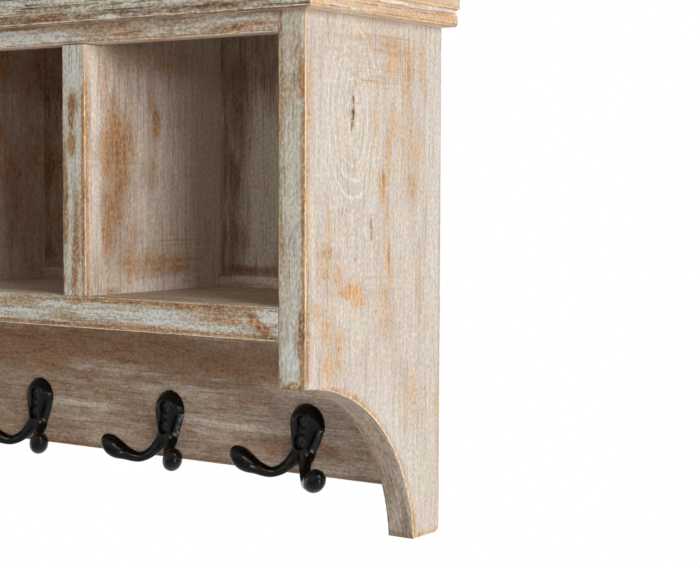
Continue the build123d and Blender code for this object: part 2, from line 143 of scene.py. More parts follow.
class Graph:
    """Adds nodes to a tree and joins them; an input is a socket, a number or a tuple."""

    def __init__(self, tree):
        self.tree = tree

    def add(self, kind, inputs=(), output=0, **settings):
        node = self.tree.nodes.new(kind)
        for name, value in settings.items():
            setattr(node, name, value)
        for key, value in dict(inputs).items():
            self.join(value, node.inputs[key])
        return node.outputs[output]

    def join(self, value, socket):
        if isinstance(value, bpy.types.NodeSocket):
            self.tree.links.new(value, socket)
        else:
            socket.default_value = value

    def maths(self, operation, a, b=0.0, clamp=False):
        return self.add("ShaderNodeMath", {0: a, 1: b}, operation=operation, use_clamp=clamp)

    def times(self, a, b):
        return self.maths("MULTIPLY", a, b)

    def plus(self, a, b):
        return self.maths("ADD", a, b)

    def blend(self, *parts):
        """The sum of values, each with its weight."""
        total = None
        for value, weight in parts:
            part = self.times(value, weight)
            total = part if total is None else self.plus(total, part)
        return total

    def even(self, value, reach=0.2):
        """A noise value, spread over 0 to 1."""
        return self.step(value, 0.5 - reach, 0.5 + reach)

    def shaded(self, colour, factor):
        """The colour, brighter or darker by a factor, and never over white."""
        scaled = self.add("ShaderNodeVectorMath", {0: colour, "Scale": factor}, operation="SCALE")
        return self.add("ShaderNodeVectorMath", {0: scaled, 1: (0.93, 0.93, 0.93)}, operation="MINIMUM")

    def step(self, value, low, high, bottom=0.0, top=1.0):
        """A smooth step from low to high."""
        inputs = {0: value, 1: low, 2: high, 3: bottom, 4: top}
        return self.add("ShaderNodeMapRange", inputs, interpolation_type="SMOOTHSTEP")

    def noise(self, vector, stretch, detail=3.0, roughness=0.55, distortion=0.0):
        """Noise with its own stretch along each axis, in waves for each metre."""
        scaled = self.add("ShaderNodeVectorMath", {0: vector, 1: stretch}, operation="MULTIPLY")
        inputs = {"Vector": scaled, "Scale": 1.0, "Detail": detail, "Roughness": roughness, "Distortion": distortion}
        return self.add("ShaderNodeTexNoise", inputs)

    def mix(self, factor, a, b):
        node = self.tree.nodes.new("ShaderNodeMix")
        node.data_type = "RGBA"
        self.join(factor, node.inputs[0])
        for value, socket in ((a, node.inputs[6]), (b, node.inputs[7])):
            self.join(value if isinstance(value, bpy.types.NodeSocket) else (*value, 1.0), socket)
        return node.outputs[2]

    def attribute(self, name, vector=False):
        return self.add("ShaderNodeAttribute", output=1 if vector else 2, attribute_name=name)


def new_material(name):
    """An empty node material and its graph and shader."""
    material = bpy.data.materials.new(name)
    material.use_nodes = True
    material.node_tree.nodes.clear()
    graph = Graph(material.node_tree)
    output = material.node_tree.nodes.new("ShaderNodeOutputMaterial")
    shader = material.node_tree.nodes.new("ShaderNodeBsdfPrincipled")
    graph.join(shader.outputs[0], output.inputs["Surface"])
    return material, graph, shader


def limed(name, wash, veil, wood, bark, bare=0.0, soft=0.13, fine=0.5, patch=0.5, flecks=0.35, specks=0.3,
          bands=0.0, edge=2.0, pale_wear_and_highlight=0.6, brush=0.0, rings=0.0, tooth=0.25, squash=(1.0, 1.0, 1.0)):
    """Limewash over wood. Wash and veil are its thick and thin colours, wood and bark the wood's light and dark
    ones. Bare raises the bare wood all over; fine, patch, flecks, bands and brush say how its fibres, blotches,
    chips, long streaks and the brush's strokes break the paint. Edge is how far an arris is worn, in millimetres;
    tooth is the contrast of the finest grain."""
    material, g, shader = new_material(name)
    fields = g.attribute("grain", vector=True)
    grain = g.add("ShaderNodeVectorMath", {0: fields, 1: squash}, operation="MULTIPLY")
    wear_and_shade, rim, stain, oval, cuts = (g.attribute(field) for field in ("wear_and_shade", "rim", "stain", "oval", "cuts"))
    fibre = g.even(g.noise(grain, (14, 370, 370), detail=4, roughness=0.7), 0.16)
    hair = g.even(g.noise(grain, (36, 620, 620), detail=2, roughness=0.6), 0.14)
    speck = g.even(g.noise(fields, (300, 450, 450), detail=2, roughness=0.6), 0.14)
    streak = g.even(g.noise(grain, (5, 100, 100), detail=5, roughness=0.65, distortion=0.3))
    patchy = g.even(g.noise(grain, (20, 64, 64), detail=5, roughness=0.72, distortion=0.6))
    flake = g.even(g.noise(grain, (95, 260, 260), detail=4, roughness=0.7))
    sawn = g.even(g.noise(grain, (420, 9, 9), detail=3, roughness=0.7))
    along = g.even(g.noise(fields, (40, 40, 40), detail=4, roughness=0.7))
    leaned = g.add("ShaderNodeVectorRotate", {"Vector": fields, "Axis": BRUSH_AXIS, "Angle": BRUSH_LEAN})
    stroke = g.even(g.noise(leaned, (110, 620, 620), detail=3, roughness=0.65), 0.16)
    band = g.even(g.noise(grain, (8, 150, 150), detail=5, roughness=0.7, distortion=0.4), 0.16)

    deep = tuple(0.5 * (a + b) for a, b in zip(veil, wood))
    timber = g.mix(g.step(g.blend((fibre, 0.35), (streak, 0.3), (hair, 0.35)), 0.25, 0.75), bark, wood)
    ground = 0.5 * (fine + patch + flecks + 0.4 * brush + bands + 0.4 + 0.3)
    # The rub field lays the wood bare: worn wood, and on the back boards, top rail and hook board also painted shade.
    amount = g.blend(
        (wear_and_shade, 1.0), (fibre, fine), (patchy, patch), (flake, flecks), (stroke, 0.4 * brush), (streak, 0.4),
        (hair, 0.3), (band, bands),
    )
    amount = g.plus(amount, bare - ground)
    coat = g.blend(
        (fibre, 0.25), (hair, 0.2), (streak, 0.25), (patchy, 0.2), (stroke, -0.45 * brush), (amount, -0.5),
        (flake, 0.1), (band, -0.2 * bands), (0.45, 0.5 * brush),
    )
    film = g.mix(g.step(coat, 0.33, 0.75), veil, wash)
    film = g.mix(g.step(coat, 0.36, 0.08), film, deep)
    shown = g.step(amount, 0.5 - soft, 0.5 + soft)
    left = g.step(g.blend((speck, 0.5), (flake, 0.5)), 0.6, 0.8, 1.0, 0.3)
    reach = g.times(g.blend((along, 1.0), (flake, 0.5), (fibre, 0.7)), edge * 0.75)
    worn = g.step(g.plus(rim, g.times(reach, -1.0)), 0.15, -0.45)
    shown = g.maths("MAXIMUM", g.times(shown, left), worn)
    colour = g.mix(shown, film, timber)

    if rings:
        beat = g.maths("SINE", g.blend((oval, 1.0), (patchy, 1.2), (along, 1.6)))
        ring = g.times(g.step(beat, 0.6, 1.0), g.step(oval, 42.0, 32.0, 0.0, rings))
        ring = g.times(ring, g.step(g.blend((speck, 0.2), (along, 0.8)), 0.2, 0.7, 0.15, 1.0))
        colour = g.mix(ring, colour, tuple(min(1.0, 1.15 * value) for value in wash))
    pore = g.step(g.blend((fibre, 0.4), (hair, 0.6)), 0.2, 0.08, 0.0, specks)
    colour = g.mix(pore, colour, bark)
    cut = g.times(g.step(g.blend((sawn, 0.8), (hair, 0.2)), 0.42, 0.26), cuts)
    colour = g.mix(cut, colour, tuple(0.5 * (a + b) for a, b in zip(wood, bark)))
    dirt = g.step(g.blend((stain, 1.0), (flake, 0.5), (speck, 0.3)), 0.72, 1.0)
    dark = g.mix(g.step(stain, 0.5, 0.8), bark, SOOT)
    colour = g.mix(dirt, colour, dark)
    # A pale line right on the arrises: the worn pale edge, and a painted highlight of light catching the arris.
    gap = 0.45 - 0.3 * pale_wear_and_highlight
    line = g.times(g.step(rim, 1.3, 0.5), g.step(g.blend((along, 0.5), (flake, 0.5)), gap, gap + 0.15, 0.0, pale_wear_and_highlight))
    colour = g.mix(line, colour, PALE_WEAR_AND_HIGHLIGHT)
    colour = g.add("ShaderNodeVectorMath", {0: colour, 1: g.mix(along, WARM, COOL)}, operation="MULTIPLY")
    grit = g.blend((fibre, 0.35 * tooth), (hair, 0.45 * tooth), (speck, 1.2 * tooth))
    colour = g.shaded(colour, g.plus(grit, 1.0 - tooth))

    g.join(colour, shader.inputs["Base Color"])
    g.join(g.step(shown, 0.0, 1.0, 0.8, 0.62), shader.inputs["Roughness"])
    shader.inputs["Specular IOR Level"].default_value = 0.3
    height = g.blend((fibre, 0.5), (flake, 0.35), (hair, 0.3), (stroke, brush), (shown, -0.5), (cut, -0.5))
    normal = g.add("ShaderNodeBump", {"Height": height, "Distance": 0.0003, "Strength": 0.5})
    g.join(normal, shader.inputs["Normal"])
    return material


def cast_iron():
    """Glossy black-brown enamel over an uneven casting."""
    material, g, shader = new_material("cast_iron_enamel")
    place = g.add("ShaderNodeTexCoord", output=3)
    lumps = g.noise(place, (190, 190, 190), detail=2)
    pits = g.noise(place, (1000, 1000, 1000), detail=2)
    colour = g.mix(g.step(lumps, 0.35, 0.7), (0.001, 0.0007, 0.0005), (0.005, 0.0034, 0.0024))
    g.join(colour, shader.inputs["Base Color"])
    g.join(g.step(pits, 0.3, 0.7, 0.11, 0.21), shader.inputs["Roughness"])
    shader.inputs["Specular IOR Level"].default_value = 0.15
    height = g.plus(g.times(lumps, 1.0), g.times(pits, 0.13))
    normal = g.add("ShaderNodeBump", {"Height": height, "Distance": 0.0006, "Strength": 0.8})
    g.join(normal, shader.inputs["Normal"])
    return material


def metal(name, dark, light, roughness, metallic):
    """Plain worked metal with fine brushing and a little tarnish."""
    material, g, shader = new_material(name)
    place = g.add("ShaderNodeTexCoord", output=3)
    tarnish = g.noise(place, (300, 300, 300), detail=4)
    brush = g.noise(place, (3000, 3000, 300), detail=2)
    g.join(g.mix(g.step(tarnish, 0.3, 0.7), dark, light), shader.inputs["Base Color"])
    g.join(g.step(brush, 0.2, 0.8, roughness * 0.7, roughness * 1.3), shader.inputs["Roughness"])
    shader.inputs["Metallic"].default_value = metallic
    normal = g.add("ShaderNodeBump", {"Height": brush, "Distance": 0.0001, "Strength": 0.3})
    g.join(normal, shader.inputs["Normal"])
    return material


def plain_wood():
    """Turned hardwood for the dowels, with rings and pores of its own."""
    material, g, shader = new_material("dowel_wood")
    place = g.add("ShaderNodeTexCoord", output=3)
    fibre = g.noise(place, (900, 900, 900), detail=3)
    rings = g.noise(place, (120, 300, 120), detail=2)
    tone = g.plus(g.times(fibre, 0.5), g.times(rings, 0.5))
    g.join(g.mix(g.step(tone, 0.3, 0.7), (0.36, 0.2, 0.09), (0.62, 0.42, 0.24)), shader.inputs["Base Color"])
    shader.inputs["Roughness"].default_value = 0.6
    g.join(g.add("ShaderNodeBump", {"Height": fibre, "Distance": 0.0002}), shader.inputs["Normal"])
    return material


FINISHES = {
    "side_face": limed("side_face", (0.635, 0.585, 0.525), (0.57, 0.475, 0.395), (0.68, 0.41, 0.20),
                       (0.36, 0.22, 0.12), bare=-0.05, soft=0.27, fine=0.3, patch=0.6, flecks=0.5, specks=0.25,
                       edge=1.6, pale_wear_and_highlight=0.8, rings=0.9, tooth=0.19),
    "painted": limed("painted", (0.87, 0.85, 0.775), (0.70, 0.63, 0.505), (0.56, 0.32, 0.155), (0.26, 0.145, 0.075),
                     bare=-0.04, soft=0.12, fine=0.2, patch=0.45, flecks=0.25, specks=0.4, edge=1.7, brush=0.3,
                     tooth=0.26),
    "rail": limed("rail", (0.88, 0.845, 0.755), (0.65, 0.555, 0.43), (0.60, 0.33, 0.16), (0.33, 0.165, 0.078),
                  bare=-0.08, soft=0.1, fine=0.35, patch=0.3, flecks=0.35, bands=0.8, specks=0.4, edge=1.8,
                  pale_wear_and_highlight=0.95, brush=0.25, tooth=0.42),
    "trim": limed("trim", (0.88, 0.84, 0.73), (0.44, 0.36, 0.27), (0.32, 0.15, 0.075), (0.09, 0.04, 0.02),
                  bare=0.02, soft=0.07, fine=0.6, patch=0.5, flecks=1.0, bands=1.0, specks=0.7, edge=1.4, pale_wear_and_highlight=0.95,
                  tooth=0.5),
    "trim_side": limed("trim_side", (0.72, 0.68, 0.63), (0.64, 0.50, 0.37), (0.70, 0.40, 0.18), (0.42, 0.24, 0.12),
                       bare=-0.05, soft=0.18, fine=0.5, patch=0.3, flecks=0.3, bands=0.9, edge=2.2, pale_wear_and_highlight=0.6,
                       tooth=0.2),
    "cut": limed("cut", (0.54, 0.455, 0.375), (0.31, 0.235, 0.175), (0.36, 0.235, 0.14), (0.13, 0.075, 0.045),
                 bare=0.08, soft=0.24, fine=0.5, patch=0.4, flecks=0.5, edge=1.2, pale_wear_and_highlight=0.95, squash=(1.0, 1.0, 0.07),
                 tooth=0.3),
    "inner": limed("inner", (0.80, 0.70, 0.62), (0.63, 0.49, 0.385), (0.64, 0.34, 0.155), (0.36, 0.19, 0.095),
                   bare=-0.08, soft=0.27, fine=0.25, patch=0.6, flecks=0.5, specks=0.25, edge=1.2, pale_wear_and_highlight=0.8,
                   tooth=0.2),
    "back": limed("back", (0.68, 0.61, 0.51), (0.38, 0.27, 0.185), (0.30, 0.16, 0.075), (0.08, 0.04, 0.02),
                  bare=0.0, soft=0.26, fine=0.3, patch=0.8, flecks=0.3, edge=0.8, tooth=0.26),
    "floor": limed("floor", (0.76, 0.65, 0.54), (0.50, 0.39, 0.29), (0.42, 0.26, 0.15), (0.17, 0.10, 0.055),
                   bare=0.0, soft=0.24, fine=0.5, patch=0.4, flecks=0.3, bands=0.4, edge=0.8, tooth=0.36),
    "hooked": limed("hooked", (0.80, 0.70, 0.6), (0.41, 0.285, 0.2), (0.42, 0.215, 0.115), (0.14, 0.075, 0.045),
                    bare=0.04, soft=0.27, fine=0.45, patch=0.65, flecks=0.35, bands=0.12, specks=0.3, edge=1.2,
                    tooth=0.26),
}


def place_piece(name, mesh, replaced):
    """A new piece that takes the place of the given nodes, which it hides."""
    piece = bpy.data.objects.new(name, mesh)
    bpy.context.scene.collection.objects.link(piece)
    if replaced:
        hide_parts(*replaced)
    return piece


def refined(name, cell):
    """A copy of a board's own shape, cut into cells small enough to carry marks."""
    node = frame["nodes"][name]
    low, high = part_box(name)
    bm = bmesh.new()
    bm.from_mesh(node.data)
    bmesh.ops.remove_doubles(bm, verts=bm.verts, dist=1e-6)
    bmesh.ops.dissolve_limit(bm, angle_limit=radians(FLAT_ANGLE), verts=bm.verts[:], edges=bm.edges[:])
    for axis in range(3):
        normal = Vector([float(axis == k) for k in range(3)])
        cells = ceil((high[axis] - low[axis]) / cell)
        for n in range(1, cells):
            place = low + normal * (high[axis] - low[axis]) * n / cells
            whole = bm.verts[:] + bm.edges[:] + bm.faces[:]
            bmesh.ops.bisect_plane(bm, geom=whole, dist=1e-7, plane_co=place, plane_no=normal)
    mesh = bpy.data.meshes.new("worn_" + name)
    bm.to_mesh(mesh)
    bm.free()
    return mesh


def points_of(mesh):
    """The mesh's points, in millimetres."""
    flat = np.zeros(len(mesh.vertices) * 3)
    mesh.vertices.foreach_get("co", flat)
    return flat.reshape(-1, 3) / MM


def box_rim(points, name, skip):
    """The distance from each point to the nearest long edge of a board, leaving out the axis skip."""
    low, high = (np.array(corner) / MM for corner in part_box(name))
    gaps = np.minimum(points - low, high - points)
    if skip is not None:
        gaps[:, skip] = np.inf
    return np.maximum(np.sort(gaps, axis=1)[:, 1], 0)


def side_rim(points, name, skip):
    """The same for a side board, whose lower front is a quarter round."""
    low, high = (np.array(corner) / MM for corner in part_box(name))
    run = high[1] - low[1] - FOOT_DEPTH
    radius = (run ** 2 + CURVE_TOP ** 2) / (2 * CURVE_TOP)
    y, z = points[:, 1], points[:, 2] - low[2]
    across = np.minimum(points[:, 0] - low[0], high[0] - points[:, 0])
    curve = np.abs(radius - np.hypot(y - low[1], z - CURVE_TOP + radius))
    front = np.where(z > CURVE_TOP, y - low[1], curve)
    outline = np.minimum(np.minimum(front, high[1] - y), z)
    return np.maximum(np.maximum(across, outline), 0)


def trim_rim(points, name, skip):
    """The same for a moulding: the distance to the arrises of its section."""
    low, high = (np.array(corner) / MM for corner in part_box(name))
    ahead = {0: points[:, 1] - low[1], 1: np.minimum(points[:, 0] - low[0], high[0] - points[:, 0])}[skip]
    up = points[:, 2] - low[2]
    return np.minimum.reduce([np.hypot(ahead - back, up - height) for back, height in TRIM_ARRISES])


def waves(points, seed, sizes, count=10):
    """Smooth seeded waviness from -1 to 1; sizes are the wavelengths along X, Y and Z in millimetres."""
    random = np.random.default_rng(seed)
    total = np.zeros(len(points))
    for _ in range(count):
        way = random.normal(size=3) / np.array(sizes) * 2
        total += np.sin(points @ way * 2 * pi * 0.5 + random.uniform(0, 2 * pi))
    return np.clip(total / (0.5 * count), -1, 1)


def spots(points, axes, marks):
    """The strongest of several soft ovals: (across, up, half width, half height, strength[, lean])."""
    most, least = np.zeros(len(points)), np.zeros(len(points))
    u, v = points[:, axes[0]], points[:, axes[1]]
    for across, up, wide, tall, strength, *lean in marks:
        turn = radians(lean[0]) if lean else 0.0
        du, dv = u - across, v - up
        s = (du * cos(turn) + dv * sin(turn)) / wide
        t = (dv * cos(turn) - du * sin(turn)) / tall
        value = strength * np.exp(-(s * s + t * t) ** 2)
        most, least = np.maximum(most, value), np.minimum(least, value)
    return most + least


def random_marks(seed, low, high, count, wide, tall, strength):
    """Soft ovals at seeded places between two corners."""
    random = np.random.default_rng(seed)
    return [
        (
            random.uniform(low[0], high[0]), random.uniform(low[1], high[1]),
            wide * random.uniform(0.4, 1.6), tall * random.uniform(0.4, 1.6), strength * random.uniform(0.5, 1.0),
        )
        for _ in range(count)
    ]


def set_field(mesh, name, values):
    """Keeps one number for each point of the mesh, for the materials to read."""
    attribute = mesh.attributes.new(name, "FLOAT", "POINT")
    attribute.data.foreach_set("value", np.asarray(values, np.float32))


def set_grain(mesh, points, axis, ring, seed):
    """Grain coordinates in metres: along the grain, then across it; ring bends it round knots."""
    others = [k for k in range(3) if k != axis]
    shift = np.random.default_rng(seed).uniform(-5, 5, 3)
    columns = [points[:, axis] * MM, points[:, others[0]] * MM, points[:, others[1]] * MM]
    if ring is not None:
        across, values = ring
        columns[1 + others.index(across)] = values * MM
    grain = np.stack(columns, 1) + shift
    attribute = mesh.attributes.new("grain", "FLOAT_VECTOR", "POINT")
    attribute.data.foreach_set("vector", grain.astype(np.float32).ravel())


def knotted(points, axes, knots):
    """Across-grain coordinates that pass round each knot, and the size of the oval that each point is on."""
    u, v = points[:, axes[0]].copy(), points[:, axes[1]]
    across, oval = u.copy(), np.full(len(u), 1000.0)
    for knot_u, knot_v, reach, stretch in knots:
        du, dv = u - knot_u, (v - knot_v) / stretch
        size = np.hypot(du, dv)
        weight = np.exp(-(size / reach) ** 2)
        across = across - du * weight
        oval = np.minimum(oval, size)
    return across, oval


def wear_down(mesh, points, rim, seed):
    """Moves the points in by a little: slow waves over the faces and dents along the arrises."""
    normals = np.zeros(len(points) * 3)
    mesh.vertices.foreach_get("normal", normals)
    normals = normals.reshape(-1, 3)
    slow = (waves(points, seed, (90, 60, 90)) - 1) * 0.5 * WAVE_DEPTH
    quick = (waves(points, seed + 1, (14, 14, 14), 16) - 1) * 0.5 * DENT_DEPTH
    depth = slow + quick * np.clip(1 - rim / 2.5, 0, 1)
    moved = points + normals * depth[:, None]
    mesh.vertices.foreach_set("co", (moved * MM).ravel())
    mesh.update()


def by_direction(mesh, finishes):
    """Gives each face the finish of the direction it looks most in, +x to -z; the part under the front edge of
    a side board has the finish curve."""
    names = list(dict.fromkeys(finishes.values()))
    for name in names:
        mesh.materials.append(FINISHES[name])
    keys = ("+x", "-x", "+y", "-y", "+z", "-z")
    index = np.array([names.index(finishes.get(key, finishes["rest"])) for key in keys])
    count = len(mesh.polygons)
    normals, centres = np.zeros(count * 3), np.zeros(count * 3)
    mesh.polygons.foreach_get("normal", normals)
    mesh.polygons.foreach_get("center", centres)
    normals, heights = normals.reshape(-1, 3), centres.reshape(-1, 3)[:, 2]
    scores = np.stack([normals[:, k // 2] * (1 - 2 * (k % 2)) for k in range(6)], 1)
    chosen = index[scores.argmax(1)]
    if "curve" in finishes:
        under = heights < heights.min() + CURVE_TOP * MM
        hollow = (np.abs(normals[:, 0]) < 0.5) & (normals[:, 1] < 0.5)
        chosen[under & hollow] = names.index(finishes["curve"])
    mesh.polygons.foreach_set("material_index", chosen.astype(np.int32))


def board(name, axis, finishes, wear_and_shade=None, stain=None, cuts=None, ring=None, seed=0, rim_of=box_rim, cell=CELL):
    """One worn board: axis is its grain; its rub marks (worn wood, and on some boards painted shade) and its stains
    come from its points.
    """
    mesh = refined(name, cell)
    points = points_of(mesh)
    rim = rim_of(points, name, axis)
    set_field(mesh, "rim", rim)
    for field, marks in (("wear_and_shade", wear_and_shade), ("stain", stain), ("cuts", cuts)):
        set_field(mesh, field, np.zeros(len(points)) if marks is None else marks(points))
    if ring is None:
        set_grain(mesh, points, axis, None, seed)
    else:
        across, oval = knotted(points, (ring[0], axis), ring[1])
        set_grain(mesh, points, axis, (ring[0], across), seed)
        set_field(mesh, "oval", oval)
    wear_down(mesh, points, rim, seed)
    by_direction(mesh, finishes)
    mesh.shade_smooth()
    mesh.set_sharp_from_angle(angle=radians(SMOOTH_ANGLE))
    piece = place_piece("worn_" + name, mesh, [name])
    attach(piece, "root")


def prong_line():
    """The prong's centre line and radius: reach along the prong, height over the plate's foot, radius."""
    knots = np.array([
        (0.0, 10.0, 5.9), (10.5, -2.8, 4.7), (22.8, -8.2, 4.4), (35.8, -5.0, 6.1),
        (46.8, 0.2, 8.7), (50.2, 3.2, 8.1), (52.8, 5.8, 5.8),
    ])
    way = np.concatenate([[0], np.cumsum(np.hypot(*np.diff(knots[:, :2], axis=0).T))])
    at = np.linspace(0, way[-1], 34)
    slopes = np.gradient(knots, way, axis=0)
    line = []
    for value in at:
        k = min(np.searchsorted(way, value, side="right") - 1, len(way) - 2)
        span = way[k + 1] - way[k]
        t = (value - way[k]) / span
        blend = (2 * t ** 3 - 3 * t ** 2 + 1, t ** 3 - 2 * t ** 2 + t, -2 * t ** 3 + 3 * t ** 2, t ** 3 - t ** 2)
        line.append(
            blend[0] * knots[k] + blend[1] * span * slopes[k]
            + blend[2] * knots[k + 1] + blend[3] * span * slopes[k + 1]
        )
    return np.array(line)


def smooth_least(a, b, reach):
    """The lesser of two distances, with a fillet of about that reach."""
    h = np.clip(0.5 + 0.5 * (b - a) / reach, 0, 1)
    return b * (1 - h) + a * h - reach * h * (1 - h)


def plate_distance(p):
    """Distance to the plate, a low dome over two joined circles; p is (across, out, up) in millimetres."""
    length = PLATE_HEIGHT - PLATE_TOP_HALF - PLATE_FOOT_HALF
    lean = (PLATE_TOP_HALF - PLATE_FOOT_HALF) / length
    side = (1 - lean * lean) ** 0.5
    x, z = np.abs(p[..., 0]), PLATE_HEIGHT - PLATE_TOP_HALF - p[..., 2]
    k = side * z - lean * x
    cone = side * x + lean * z - PLATE_TOP_HALF
    foot = np.hypot(x, z - length) - PLATE_FOOT_HALF
    outline = np.where(k < 0, np.hypot(x, z) - PLATE_TOP_HALF, np.where(k > side * length, foot, cone))
    flank = (outline + PLATE_BEVEL * np.abs(p[..., 1])) / (1 + PLATE_BEVEL ** 2) ** 0.5
    front = PLATE_THICKNESS - PLATE_DOME * (x ** 2 + np.minimum(z, 0) ** 2) - np.abs(p[..., 1])
    return -smooth_least(front, -flank, PLATE_FILLET)


def prong_distance(p):
    """Distance to both prongs, which mirror each other."""
    spread = radians(PRONG_SPREAD)
    line = prong_line()
    root = PRONG_ROOT * np.exp(-(line[:, 0] / PRONG_FADE) ** 2)
    centres = np.stack([root + line[:, 0] * sin(spread), PRONG_OUT + line[:, 0] * cos(spread), line[:, 1]], 1)
    mirrored = np.stack([np.abs(p[..., 0]), p[..., 1], p[..., 2]], -1)
    best = np.full(p.shape[:-1], np.inf)
    for start, end, first, last in zip(centres[:-1], centres[1:], line[:-1, 2], line[1:, 2]):
        along = end - start
        t = np.clip((mirrored - start) @ along / (along @ along), 0, 1)
        gap = np.linalg.norm(mirrored - start - t[..., None] * along, axis=-1)
        best = np.minimum(best, gap - first - t * (last - first))
    return best


def hook_distance(p):
    """Distance to the whole casting, with two screw recesses that a low neck joins, and a flat back."""
    shape = smooth_least(plate_distance(p), prong_distance(p), PRONG_FILLET)
    for up, radius in WELLS:
        well = np.maximum(np.hypot(p[..., 0], p[..., 2] - up) - radius, WELL_FLOOR - p[..., 1])
        shape = -smooth_least(-shape, well, WELL_FILLET)
    beside, beyond = np.abs(p[..., 0]) - NECK_HALF, np.abs(p[..., 2] - NECK_MIDDLE) - NECK_REACH
    neck = np.maximum(np.maximum(beside, beyond), NECK_FLOOR - p[..., 1])
    shape = -smooth_least(-shape, neck, WELL_FILLET)
    return np.maximum(shape, HOOK_BACK - p[..., 1])


def surface_net(distance, low, high, step):
    """The quad mesh where a distance field is zero, one point in each cell that it crosses."""
    axes = [np.arange(a, b + step, step) for a, b in zip(low, high)]
    corners = np.stack(np.meshgrid(*axes, indexing="ij"), -1)
    field = distance(corners)
    inside = field < 0
    size = [n - 1 for n in inside.shape]
    parts = [
        inside[i:i + size[0], j:j + size[1], k:k + size[2]]
        for i in (0, 1) for j in (0, 1) for k in (0, 1)
    ]
    filled = sum(part.astype(int) for part in parts)
    active = (filled > 0) & (filled < 8)
    number = np.full(active.shape, -1)
    number[active] = np.arange(active.sum())
    points = corners[:-1, :-1, :-1][active] + step / 2
    for _ in range(4):
        value = distance(points)
        slope = np.stack([distance(points + d) - value for d in np.eye(3) * 0.05], -1) / 0.05
        change = value[:, None] * slope / np.maximum((slope ** 2).sum(-1, keepdims=True), 0.2)
        points = points - np.clip(change, -0.6 * step, 0.6 * step)
    faces = []
    for axis in range(3):
        u, v = (axis + 1) % 3, (axis + 2) % 3
        first = [slice(1, -1)] * 3
        first[axis] = slice(0, -1)
        second = list(first)
        second[axis] = slice(1, None)
        change = inside[tuple(first)].astype(int) - inside[tuple(second)].astype(int)
        for sign in (1, -1):
            place = np.argwhere(change == sign)
            place[:, u] += 1
            place[:, v] += 1
            ring = []
            for du, dv in ((0, 0), (1, 0), (1, 1), (0, 1)):
                cell = place.copy()
                cell[:, u] -= du
                cell[:, v] -= dv
                ring.append(number[tuple(cell.T)])
            ring = np.stack(ring[::sign], 1)
            faces.append(ring[(ring >= 0).all(1)])
    return points, np.concatenate(faces)


def hook_mesh():
    """The double hook's mesh, its back on Y = 0 and its pivot at the origin."""
    points, faces = surface_net(hook_distance, HOOK_LOW, HOOK_HIGH, HOOK_STEP)
    local = np.stack([points[:, 0], -points[:, 1], points[:, 2] - HOOK_PIVOT], 1) * MM
    mesh = bpy.data.meshes.new("double_hook")
    mesh.from_pydata(local.tolist(), [], faces[:, ::-1].tolist())
    mesh.materials.append(IRON)
    mesh.shade_smooth()
    mesh.update()
    return mesh


def hooks():
    """Five castings from one pattern, each on its own spot, a little askew and a little wider or narrower."""
    mesh = hook_mesh()
    board_low, board_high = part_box("hook_board")
    width = board_high.x - board_low.x
    for n, (share, tilt, wide) in enumerate(zip(HOOK_SHARES, HOOK_TILTS, HOOK_WIDTHS), 1):
        piece = place_piece(f"cast_hook_{n}", mesh, [f"hook_{n}"])
        place = Vector((share * width, board_low.y, board_low.z + HOOK_RISE))
        turn = Matrix.Rotation(radians(tilt), 4, "Y")
        piece.matrix_world = Matrix.Translation(place) @ turn @ Matrix.Diagonal((wide, 1.0, 1.0, 1.0))
        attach(piece, "root")


def cad_materials():
    """Materials for the pieces that keep their own shape."""
    black = metal("black_screw", (0.006, 0.005, 0.005), (0.03, 0.025, 0.02), 0.35, 0.6)
    plated = metal("plated_steel", (0.42, 0.42, 0.4), (0.62, 0.61, 0.58), 0.3, 1.0)
    bright = metal("bright_steel", (0.3, 0.29, 0.27), (0.52, 0.5, 0.47), 0.35, 1.0)
    dowels = plain_wood()
    given = {
        black: ("hook_screws",),
        plated: ("hanger_plate_left", "hanger_plate_right", "hanger_screws"),
        bright: ("divider_screws", "back_nails", "cornice_nails"),
        dowels: ("rail_dowels", "shelf_dowels", "hook_board_dowels", "top_dowels"),
    }
    for material, nodes in given.items():
        for name in nodes:
            mesh = frame["nodes"][name].data
            mesh.materials.clear()
            mesh.materials.append(material)


def camera():
    """The photograph's camera."""
    data = bpy.data.cameras.new("camera")
    data.sensor_width = SENSOR
    data.lens = FOCAL_PIXELS / PHOTO_WIDTH * SENSOR
    data.clip_start = 0.05
    item = bpy.data.objects.new("camera", data)
    bpy.context.scene.collection.objects.link(item)
    turn = Matrix.Rotation(CAMERA_YAW, 4, "Z") @ Matrix.Rotation(pi / 2 + CAMERA_PITCH, 4, "X")
    item.matrix_world = Matrix.Translation(CAMERA_PLACE) @ turn @ Matrix.Rotation(CAMERA_ROLL, 4, "Z")
    bpy.context.scene.camera = item


def background_rays(graph):
    """One where a ray should see the white background: camera, glossy and transmission rays."""
    paths = graph.tree.nodes.new("ShaderNodeLightPath")
    seen = graph.maths("MAXIMUM", paths.outputs["Is Camera Ray"], paths.outputs["Is Glossy Ray"])
    return graph.maths("MAXIMUM", seen, paths.outputs["Is Transmission Ray"])


def world():
    """Even pale light all round, and a white background."""
    surroundings = bpy.data.worlds.new("studio")
    bpy.context.scene.world = surroundings
    surroundings.use_nodes = True
    tree = surroundings.node_tree
    tree.nodes.clear()
    g = Graph(tree)
    light = g.add("ShaderNodeBackground", {"Color": (1.0, 0.985, 0.96, 1.0), "Strength": AMBIENT})
    white = g.add("ShaderNodeBackground", {"Color": (1.0, 1.0, 1.0, 1.0), "Strength": 1.0})
    mixed = g.add("ShaderNodeMixShader", {0: background_rays(g), 1: light, 2: white})
    g.join(mixed, tree.nodes.new("ShaderNodeOutputWorld").inputs["Surface"])


